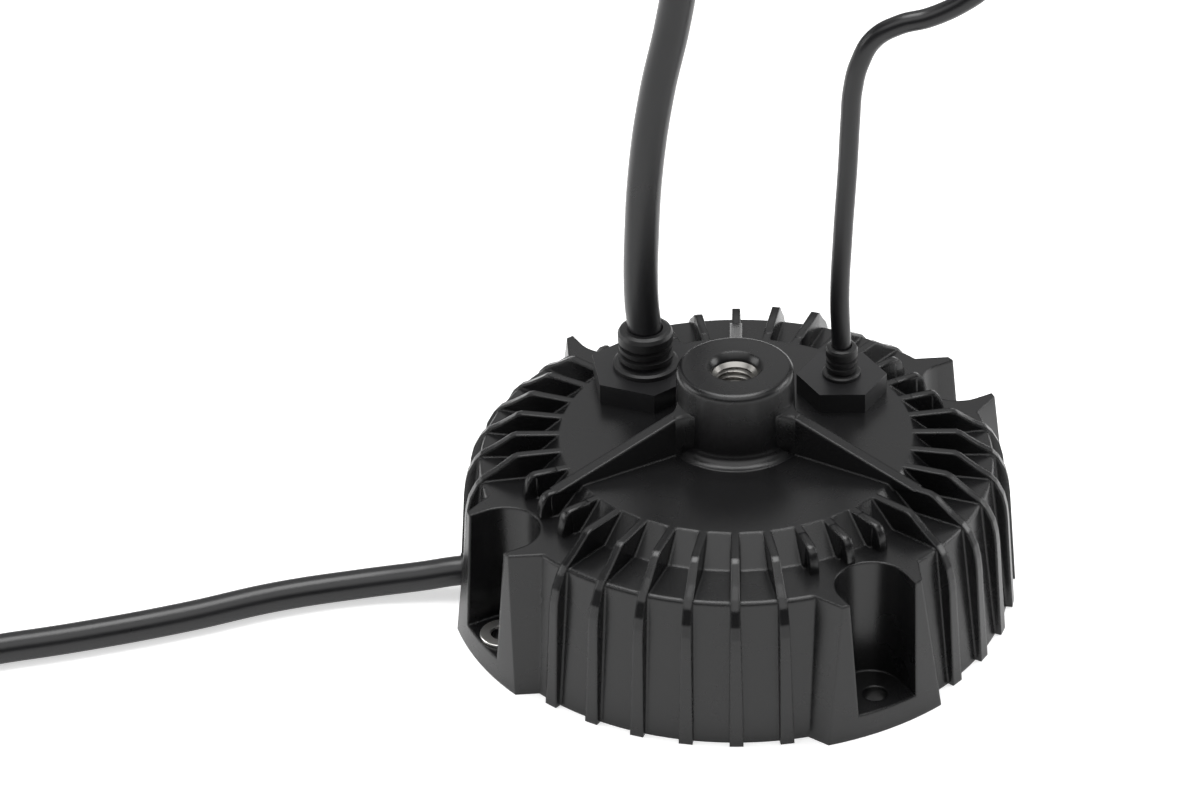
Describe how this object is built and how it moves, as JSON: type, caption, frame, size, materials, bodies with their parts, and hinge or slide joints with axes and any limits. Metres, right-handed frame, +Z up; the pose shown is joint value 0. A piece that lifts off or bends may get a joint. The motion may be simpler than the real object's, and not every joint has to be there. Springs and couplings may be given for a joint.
{
  "type": "led driver",
  "caption": "Round cast LED driver with radial cooling fins, a threaded hanging boss, mounting pockets and jacketed leads with bare ends.",
  "frame": {"origin": "centre of the base, on the plane that the driver rests on", "axes": "+Z up through the hanging boss, -Y to the front, where the roof is bare between two arms"},
  "size_m": [0.3718, 0.1586, 0.1871],
  "materials": {
    "black_casting": "satin black powder coat",
    "steel": "machined",
    "plate_metal": "mill finish",
    "black_rubber": "soft matt",
    "black_nylon": "moulded satin",
    "board_green": "solder mask",
    "sheet_cream": "film",
    "ferrite": "sintered grey",
    "tape_yellow": "polyester tape",
    "copper_wire": "enamelled",
    "core_green": "coated ring",
    "sleeve_blue": "shrunk sleeve",
    "sleeve_black": "shrunk sleeve",
    "case_yellow": "moulded box",
    "dip_blue": "dipped",
    "ceramic_white": "glazed tube",
    "epoxy_black": "moulded",
    "wire_brown": "insulated",
    "wire_violet": "insulated",
    "wire_red": "insulated",
    "black_jacket": "smooth jacket",
    "tinned_copper": "tinned strands"
  },
  "bodies": {
    "root": {"housing": "black_casting", "thread_insert": "steel", "base_plate": "plate_metal", "base_gasket": "black_rubber", "base_screws": "steel", "mains_gland": "black_nylon", "mains_locknut": "plate_metal", "mains_boot": "black_rubber", "dimming_gland": "black_nylon", "dimming_locknut": "plate_metal", "dimming_boot": "black_rubber", "output_bush": "black_rubber", "circuit_board": "board_green", "board_screws": "steel", "insulating_sheet": "sheet_cream", "transformer_core": "ferrite", "transformer_bobbin": "black_nylon", "transformer_winding": "tape_yellow", "choke_core": "ferrite", "choke_winding": "copper_wire", "input_choke_core": "core_green", "input_choke_winding": "copper_wire", "bulk_capacitors": "sleeve_blue", "output_capacitors": "sleeve_black", "film_capacitor": "case_yellow", "disc_capacitors": "dip_blue", "fuse": "ceramic_white", "varistor": "dip_blue", "bridge_rectifier": "epoxy_black", "power_transistors": "epoxy_black", "heat_bar": "plate_metal", "control_board": "board_green", "control_chips": "epoxy_black", "mains_inner_wires": "wire_brown", "dimming_inner_wires": "wire_violet", "output_inner_wires": "wire_red", "mains_lead": "black_jacket", "mains_cores": "wire_brown", "mains_core_tips": "tinned_copper", "dimming_lead": "black_jacket", "dimming_cores": "wire_violet", "dimming_core_tips": "tinned_copper", "output_lead": "black_jacket", "output_cores": "wire_red", "output_core_tips": "tinned_copper"}
  },
  "joints": []
}
